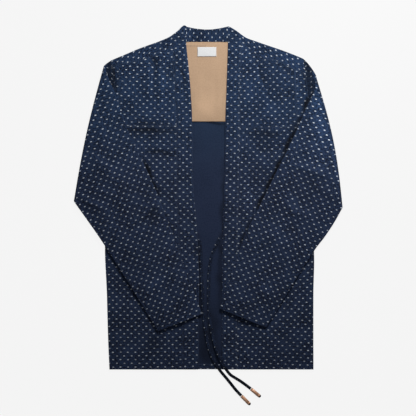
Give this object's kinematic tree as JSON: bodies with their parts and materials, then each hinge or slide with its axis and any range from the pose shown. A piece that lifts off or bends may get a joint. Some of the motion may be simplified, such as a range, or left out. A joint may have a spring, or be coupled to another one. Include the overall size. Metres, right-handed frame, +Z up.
{
  "type": "noragi jacket",
  "caption": "Indigo noragi work jacket laid flat: folded collar band, yokes, wide sleeves turned over the open fronts, a tan yoke lining, and metal-ended ties.",
  "frame": {"origin": "middle of the jacket's outline without its ties, on the surface that it lies on", "axes": "+X towards the wearer's left, +Y from the hem to the collar, +Z up from the surface"},
  "size_m": [0.6171, 0.8714, 0.0139],
  "materials": {
    "indigo_cotton": "matte slub-woven cotton, mottled indigo with a small repeat of pale dashes",
    "tan_cotton": "plain matte tan cotton",
    "label_tape": "smooth white woven tape, blank",
    "copper": "satin copper-toned metal"
  },
  "bodies": {
    "root": {"back_yoke": "indigo_cotton", "back": "indigo_cotton", "yoke_lining": "tan_cotton", "label": "label_tape", "front_yoke_right": "indigo_cotton", "front_right": "indigo_cotton", "armhole_band_right": "indigo_cotton", "collar_right": "indigo_cotton", "front_yoke_left": "indigo_cotton", "front_left": "indigo_cotton", "armhole_band_left": "indigo_cotton", "collar_left": "indigo_cotton", "collar_back": "indigo_cotton", "sleeve_right": "indigo_cotton", "sleeve_left": "indigo_cotton", "tie_right": "indigo_cotton", "tie_left": "indigo_cotton", "aglet_right": "copper", "aglet_left": "copper"}
  },
  "joints": []
}
